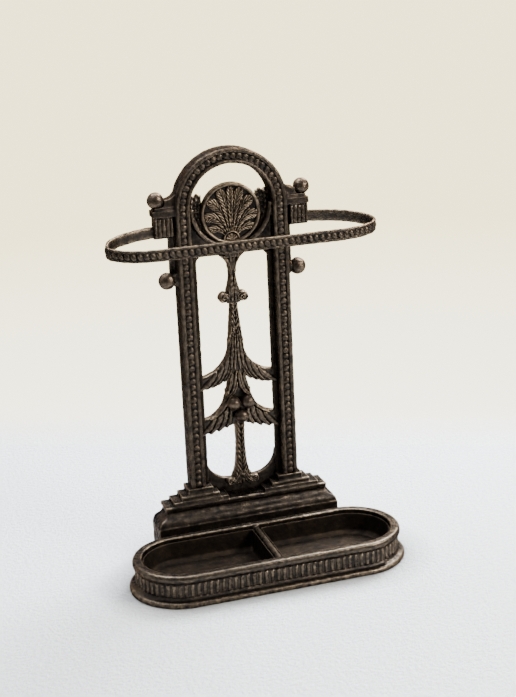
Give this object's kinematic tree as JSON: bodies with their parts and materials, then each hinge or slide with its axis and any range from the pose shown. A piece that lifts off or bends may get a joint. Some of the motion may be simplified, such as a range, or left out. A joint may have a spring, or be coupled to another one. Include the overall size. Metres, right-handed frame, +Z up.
{
  "type": "umbrella stand",
  "caption": "Cast-iron umbrella stand with an oval two-well base, stepped plinth, arched openwork back, shell medallion and a beaded umbrella hoop.",
  "frame": {"origin": "on the floor, under the middle of the whole stand's width and depth", "axes": "+Z up, the stand faces -Y (hoop and wells towards -Y, flat back towards +Y), +X to the right as seen from the front"},
  "size_m": [0.522, 0.264, 0.76],
  "materials": {
    "bronzed_iron": "antique bronzed cast iron, black-brown with worn lighter edges",
    "pan_iron": "dark bronzed cast iron, smoother",
    "worn_bronze": "bronzed cast iron rubbed lighter by handling",
    "dark_steel": "blackened steel fasteners"
  },
  "bodies": {
    "stand": {"back_frame": "bronzed_iron", "base_tray": "bronzed_iron", "berries": "worn_bronze", "finial_lower_left": "worn_bronze", "finial_lower_right": "worn_bronze", "finial_upper_left": "worn_bronze", "finial_upper_right": "worn_bronze", "frame_bolts": "dark_steel", "frame_washers": "dark_steel", "lunette_plate": "bronzed_iron", "medallion_screws": "dark_steel", "plinth": "bronzed_iron", "plinth_bolts": "dark_steel", "shell_medallion": "bronzed_iron", "socket_bolts": "dark_steel", "socket_left": "bronzed_iron", "socket_right": "bronzed_iron", "socket_washers": "dark_steel", "tracery": "bronzed_iron", "tracery_rivets": "dark_steel", "umbrella_hoop": "bronzed_iron"},
    "pan_left": {"drip_pan_left": "pan_iron"},
    "pan_right": {"drip_pan_right": "pan_iron"}
  },
  "joints": [
    {"name": "lift_pan_left", "type": "slide", "parent": "stand", "child": "pan_left", "axis": [0, 0, 1], "range_m": [0, 0.09]},
    {"name": "lift_pan_right", "type": "slide", "parent": "stand", "child": "pan_right", "axis": [0, 0, 1], "range_m": [0, 0.09]}
  ]
}
